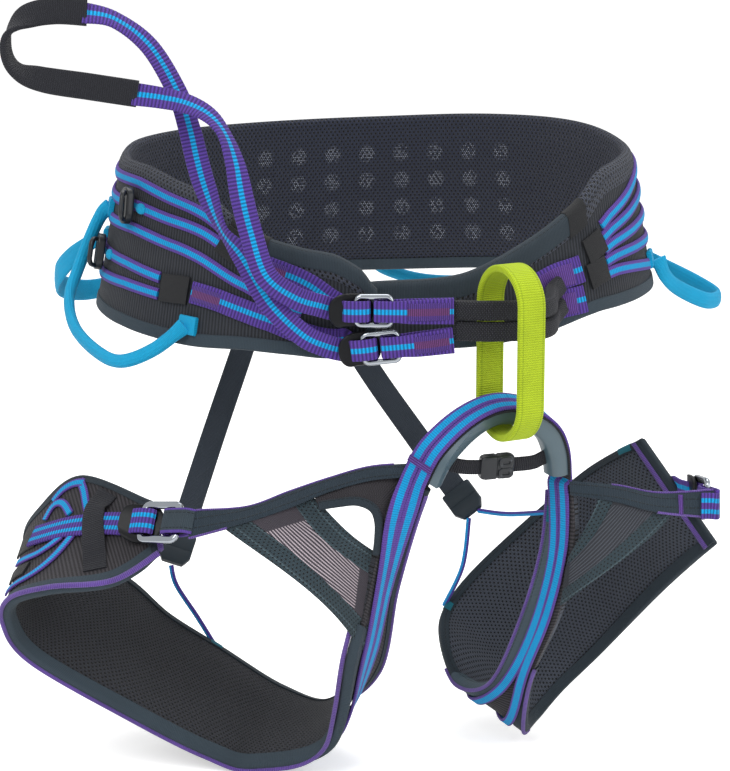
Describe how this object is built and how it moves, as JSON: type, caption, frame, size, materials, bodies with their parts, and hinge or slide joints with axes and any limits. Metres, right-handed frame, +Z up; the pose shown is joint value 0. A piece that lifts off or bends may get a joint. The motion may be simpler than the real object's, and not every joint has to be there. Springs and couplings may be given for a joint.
{
  "type": "climbing harness",
  "caption": "Sit harness with a padded waist belt, front waist buckles, a belay loop, a bridge arch, adjustable leg loops, gear loops and joined strap tails.",
  "frame": {"origin": "centre of the waist opening, at the height of the middle of the belt", "axes": "+Z up along the wearer's trunk, -Y towards the viewer of the picture, where the belt's buckles are, +X to the viewer's right; the wearer's own front is turned about 30 degrees from -Y towards +X"},
  "size_m": [0.4335, 0.2983, 0.4571],
  "materials": {
    "shell_fabric": "matte ripstop",
    "mesh_lining": "perforated spacer mesh",
    "purple_webbing": "woven, cyan centre stripe",
    "black_webbing": "woven",
    "lime_webbing": "woven",
    "polished_steel": "polished",
    "black_plate": "satin black",
    "cyan_loop": "ridged",
    "black_plastic": "fine grain",
    "riser_webbing": "woven",
    "cyan_cord": "braided",
    "moulded_protector": "fine grain",
    "teal_elastic": "woven elastic",
    "stretch_panel": "ribbed stretch"
  },
  "bodies": {
    "belt": {"waist_shell": "shell_fabric", "waist_lining": "mesh_lining", "belt_band_1": "purple_webbing", "belt_band_2": "purple_webbing", "belt_band_3": "purple_webbing", "belt_band_4": "purple_webbing", "belt_band_5": "purple_webbing", "label_tabs": "black_webbing", "upper_waist_strap": "purple_webbing", "lower_waist_strap": "purple_webbing", "tie_in_webbing": "purple_webbing", "tie_in_sleeves": "black_webbing", "upper_anchor_strap": "purple_webbing", "lower_anchor_strap": "purple_webbing", "tool_clip_slots": "black_plastic", "left_riser": "riser_webbing", "right_riser": "riser_webbing", "riser_clips": "black_plastic", "left_elastic_cord": "cyan_cord", "right_elastic_cords": "cyan_cord", "bridge_webbing": "purple_webbing", "bridge_protector": "moulded_protector", "spreader_strap": "black_webbing"},
    "belay_loop": {"belay_loop": "lime_webbing"},
    "upper_buckle": {"upper_buckle_frame": "polished_steel", "upper_buckle_plate": "black_plate", "upper_buckle_turn": "purple_webbing"},
    "lower_buckle": {"lower_buckle_frame": "polished_steel", "lower_buckle_plate": "black_plate", "lower_buckle_turn": "purple_webbing"},
    "strap_tails": {"upper_strap_tail": "purple_webbing", "lower_strap_tail": "purple_webbing", "tail_joining_loop": "black_webbing"},
    "left_front_gear_loop": {"left_front_gear_loop": "cyan_loop"},
    "left_rear_gear_loop": {"left_rear_gear_loop": "cyan_loop"},
    "back_gear_loop": {"back_gear_loop": "cyan_loop"},
    "right_gear_loop": {"right_gear_loop": "cyan_loop"},
    "left_leg": {"left_leg_shell": "shell_fabric", "left_leg_lining": "mesh_lining", "left_leg_band": "teal_elastic", "left_leg_panel": "stretch_panel", "left_leg_strips": "teal_elastic", "left_leg_webbing": "purple_webbing", "left_leg_strap": "purple_webbing", "left_leg_keeper": "black_webbing"},
    "left_leg_buckle": {"left_leg_buckle_frame": "polished_steel", "left_leg_buckle_plate": "black_plate", "left_leg_buckle_turn": "purple_webbing"},
    "right_leg": {"right_leg_shell": "shell_fabric", "right_leg_lining": "mesh_lining", "right_leg_band": "teal_elastic", "right_leg_panel": "stretch_panel", "right_leg_strips": "teal_elastic", "right_leg_webbing": "purple_webbing", "right_leg_strap": "purple_webbing"},
    "right_leg_buckle": {"right_leg_buckle_frame": "polished_steel", "right_leg_buckle_plate": "black_plate", "right_leg_buckle_turn": "purple_webbing"},
    "spreader_buckle": {"spreader_buckle": "black_plastic"}
  },
  "joints": [
    {"name": "belay_loop_swing", "type": "hinge", "parent": "belt", "child": "belay_loop", "pos_m": [0.075, -0.138, -0.03], "axis": [0.866, 0.5, 0], "range_deg": [-1, 3]},
    {"name": "upper_buckle_tilt", "type": "hinge", "parent": "belt", "child": "upper_buckle", "pos_m": [0.0079, -0.137, -0.024], "axis": [0, 0, 1], "range_deg": [0, 10]},
    {"name": "lower_buckle_tilt", "type": "hinge", "parent": "belt", "child": "lower_buckle", "pos_m": [0.01185, -0.137, -0.04397], "axis": [-0.1045, 0, 0.9945], "range_deg": [0, 10]},
    {"name": "strap_tails_swing", "type": "hinge", "parent": "belt", "child": "strap_tails", "pos_m": [-0.02, -0.137, -0.0355], "axis": [-0.1713, 0, 0.9852], "range_deg": [0, 30]},
    {"name": "left_front_gear_loop_swing", "type": "hinge", "parent": "belt", "child": "left_front_gear_loop", "pos_m": [-0.13946, -0.05548, -0.0115], "axis": [-0.4815, 0.7221, 0.4967], "range_deg": [-4, 12], "stiffness_Nm_per_rad": 0.2},
    {"name": "left_rear_gear_loop_swing", "type": "hinge", "parent": "belt", "child": "left_rear_gear_loop", "pos_m": [-0.1582, 0.03639, -0.016], "axis": [0.3337, 0.8648, -0.3751], "range_deg": [-4, 12], "stiffness_Nm_per_rad": 0.2},
    {"name": "back_gear_loop_swing", "type": "hinge", "parent": "belt", "child": "back_gear_loop", "pos_m": [0.04603, 0.11228, -0.03], "axis": [0.9797, -0.1995, 0.0188], "range_deg": [-4, 12], "stiffness_Nm_per_rad": 0.2},
    {"name": "right_gear_loop_swing", "type": "hinge", "parent": "belt", "child": "right_gear_loop", "pos_m": [0.16791, 0.01234, -0.0145], "axis": [0.1405, -0.9888, 0.0509], "range_deg": [-4, 12], "stiffness_Nm_per_rad": 0.2},
    {"name": "left_leg_swing", "type": "hinge", "parent": "belt", "child": "left_leg", "pos_m": [0.0206, -0.1474, -0.1203], "axis": [-0.7924, 0.4313, 0.4313], "range_deg": [-8, 8], "deforming": ["left_elastic_cord"]},
    {"name": "right_leg_swing", "type": "hinge", "parent": "belt", "child": "right_leg", "pos_m": [0.107, -0.1153, -0.126], "axis": [-0.6448, 0.7621, 0.0586], "range_deg": [-8, 8], "deforming": ["right_elastic_cords"]},
    {"name": "left_leg_buckle_tilt", "type": "hinge", "parent": "left_leg", "child": "left_leg_buckle", "pos_m": [-0.11377, -0.1469, -0.1443], "axis": [0.152, 0.551, 0.8205], "range_deg": [0, 10]},
    {"name": "right_leg_buckle_tilt", "type": "hinge", "parent": "right_leg", "child": "right_leg_buckle", "pos_m": [0.19506, -0.09111, -0.14551], "axis": [-0.0806, -0.1471, -0.9858], "range_deg": [0, 10]},
    {"name": "spreader_buckle_slide", "type": "slide", "parent": "belt", "child": "spreader_buckle", "axis": [0.9479, 0.3183, 0.0106], "range_m": [-0.002, 0.003]}
  ]
}
